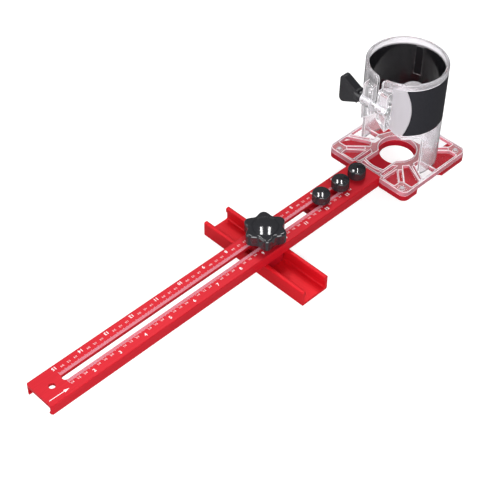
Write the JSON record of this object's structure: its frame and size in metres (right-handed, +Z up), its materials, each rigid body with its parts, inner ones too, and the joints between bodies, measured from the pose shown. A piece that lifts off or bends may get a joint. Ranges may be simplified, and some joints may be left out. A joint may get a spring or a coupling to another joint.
{
  "type": "router circle cutting jig",
  "caption": "Slotted rail arm with a sliding cross fence on a star knob, three round knobs, and a plate with a clear clamp collar that holds a trim router for cutting circles.",
  "frame": {"origin": "centre of the whole part's bounding box in plan, at the height of the fence's underside", "axes": "+X along the arm towards the router collar, +Y towards the wing knob, +Z up"},
  "size_m": [0.4438, 0.115, 0.1243],
  "materials": {
    "red_anodised": "red anodised, fine grain",
    "black_plastic": "gloss black",
    "black_rubber": "matte black, fine grain",
    "clear_plastic": "clear moulded polycarbonate",
    "zinc_steel": "zinc plated"
  },
  "bodies": {
    "jig": {"rail_arm": "red_anodised", "base_plate": "red_anodised", "router_base": "clear_plastic", "grip_sleeve": "black_rubber", "base_screw_1": "zinc_steel", "base_screw_2": "zinc_steel", "base_screw_3": "zinc_steel", "base_screw_4": "zinc_steel", "clamp_nut": "zinc_steel", "clamp_washer": "zinc_steel"},
    "fence": {"fence_channel": "red_anodised", "guide_block": "red_anodised", "fence_screw_1": "zinc_steel", "fence_screw_2": "zinc_steel", "star_washer": "zinc_steel"},
    "star": {"star_knob": "black_plastic", "star_stud": "zinc_steel"},
    "knob_1": {"round_knob_1": "black_plastic", "knob_stud_1": "zinc_steel"},
    "knob_2": {"round_knob_2": "black_plastic", "knob_stud_2": "zinc_steel"},
    "knob_3": {"round_knob_3": "black_plastic", "knob_stud_3": "zinc_steel"},
    "wing": {"wing_knob": "black_plastic", "clamp_screw": "zinc_steel"}
  },
  "joints": [
    {"name": "fence_slide", "type": "slide", "parent": "jig", "child": "fence", "axis": [1, 0, 0], "range_m": [-0.205, 0.04]},
    {"name": "star_turn", "type": "hinge", "parent": "fence", "child": "star", "pos_m": [0.0131, 0, 0.0256], "axis": [0, 0, 1], "range_deg": [0, 450]},
    {"name": "knob_turn_1", "type": "hinge", "parent": "jig", "child": "knob_1", "pos_m": [0.0803, 0, 0.0256], "axis": [0, 0, 1], "range_deg": [0, 450]},
    {"name": "knob_turn_2", "type": "hinge", "parent": "jig", "child": "knob_2", "pos_m": [0.1044, 0, 0.0256], "axis": [0, 0, 1], "range_deg": [0, 450]},
    {"name": "knob_turn_3", "type": "hinge", "parent": "jig", "child": "knob_3", "pos_m": [0.1253, 0, 0.0256], "axis": [0, 0, 1], "range_deg": [0, 450]},
    {"name": "wing_turn", "type": "hinge", "parent": "jig", "child": "wing", "pos_m": [0.1421, 0, 0.0947], "axis": [0, 1, 0], "range_deg": [0, 450]}
  ]
}
